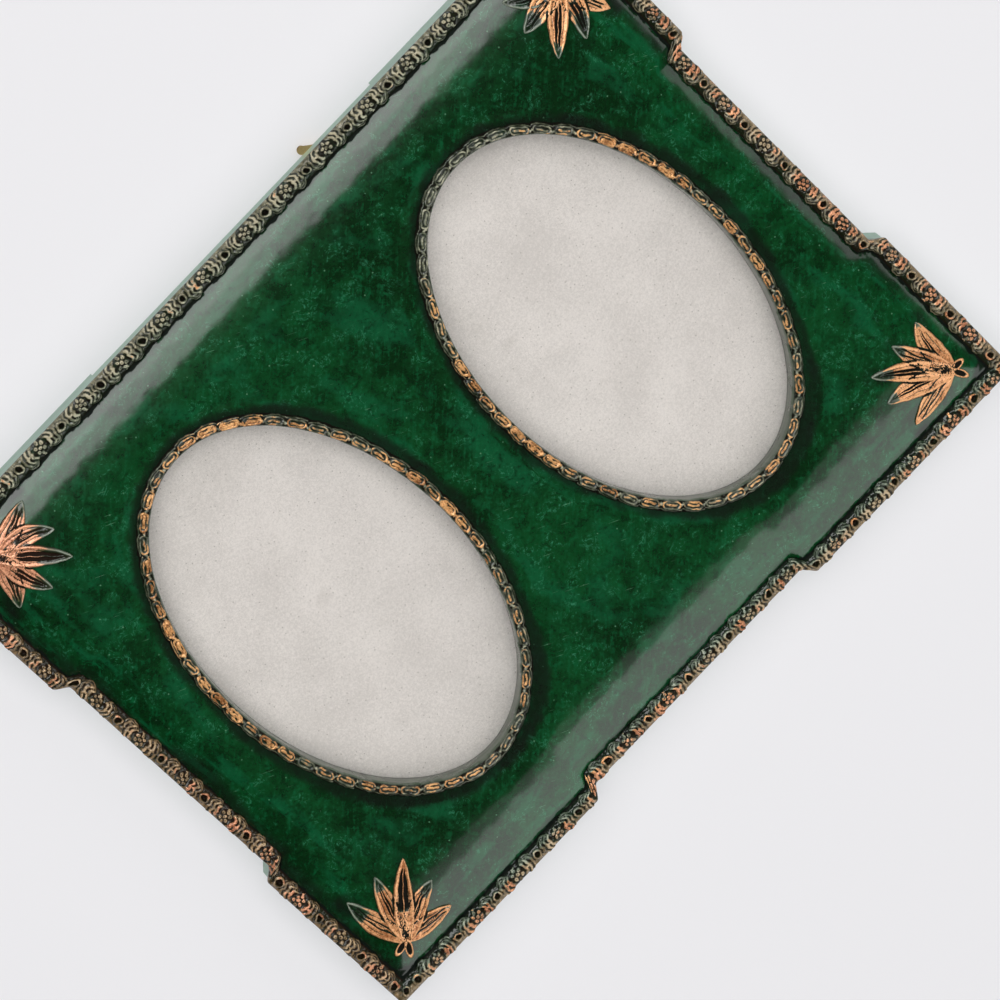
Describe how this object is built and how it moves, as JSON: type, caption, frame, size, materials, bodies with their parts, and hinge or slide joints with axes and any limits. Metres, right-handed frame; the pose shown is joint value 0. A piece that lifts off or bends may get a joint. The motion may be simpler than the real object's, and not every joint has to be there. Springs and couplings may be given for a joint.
{
  "type": "double photo frame",
  "caption": "Moulded double photo frame with two oval windows, rubbed ornamental border, clear panes, turn-button back and an easel strut.",
  "frame": {"origin": "middle of the box's base, in the plane of the four corner feet, with the face up", "axes": "+X along the long side, +Y from the lower edge to the upper edge, +Z from the feet to the face"},
  "size_m": [0.254, 0.1912, 0.0172],
  "materials": {
    "stained_moulding": "moulded plastic, stained dark green, raised ornament rubbed with copper, bare pale green side walls",
    "clear_pane": "clear, polished",
    "insert_paper": "plain pale sheet with fine flecks",
    "filler_card": "plain grey-brown card",
    "hardboard": "pressed fibre board, smooth dark face",
    "brass": "plated, slightly dulled",
    "steel": "bright wire"
  },
  "bodies": {
    "frame": {"front_moulding": "stained_moulding", "left_pane": "clear_pane", "right_pane": "clear_pane", "left_blank_insert": "insert_paper", "right_blank_insert": "insert_paper", "left_filler_card": "filler_card", "right_filler_card": "filler_card", "backing_board": "hardboard", "bottom_left_screw": "brass", "bottom_right_screw": "brass", "right_screw": "brass", "top_right_screw": "brass", "top_left_screw": "brass", "left_screw": "brass", "board_hinge_leaf": "brass", "hinge_pin": "steel", "board_rivets": "brass"},
    "strut": {"easel_strut": "hardboard", "strut_hinge_leaf": "brass", "strut_rivets": "brass"},
    "bottom_left_button_body": {"bottom_left_button": "brass"},
    "bottom_right_button_body": {"bottom_right_button": "brass"},
    "right_button_body": {"right_button": "brass"},
    "top_right_button_body": {"top_right_button": "brass"},
    "top_left_button_body": {"top_left_button": "brass"},
    "left_button_body": {"left_button": "brass"}
  },
  "joints": [
    {"name": "strut_hinge", "type": "hinge", "parent": "frame", "child": "strut", "pos_m": [0, 0.032, 0.0021], "axis": [1, 0, 0], "range_deg": [0, 30]},
    {"name": "bottom_left_button_turn", "type": "hinge", "parent": "frame", "child": "bottom_left_button_body", "pos_m": [-0.039, -0.0855, 0.0025], "axis": [0, 0, 1], "continuous": true},
    {"name": "bottom_right_button_turn", "type": "hinge", "parent": "frame", "child": "bottom_right_button_body", "pos_m": [0.039, -0.0855, 0.0025], "axis": [0, 0, 1], "continuous": true},
    {"name": "right_button_turn", "type": "hinge", "parent": "frame", "child": "right_button_body", "pos_m": [0.1143, -0.0012, 0.0025], "axis": [0, 0, 1], "continuous": true},
    {"name": "top_right_button_turn", "type": "hinge", "parent": "frame", "child": "top_right_button_body", "pos_m": [0.028, 0.0815, 0.0025], "axis": [0, 0, 1], "continuous": true},
    {"name": "top_left_button_turn", "type": "hinge", "parent": "frame", "child": "top_left_button_body", "pos_m": [-0.028, 0.0815, 0.0025], "axis": [0, 0, 1], "continuous": true},
    {"name": "left_button_turn", "type": "hinge", "parent": "frame", "child": "left_button_body", "pos_m": [-0.1143, -0.0012, 0.0025], "axis": [0, 0, 1], "continuous": true}
  ]
}
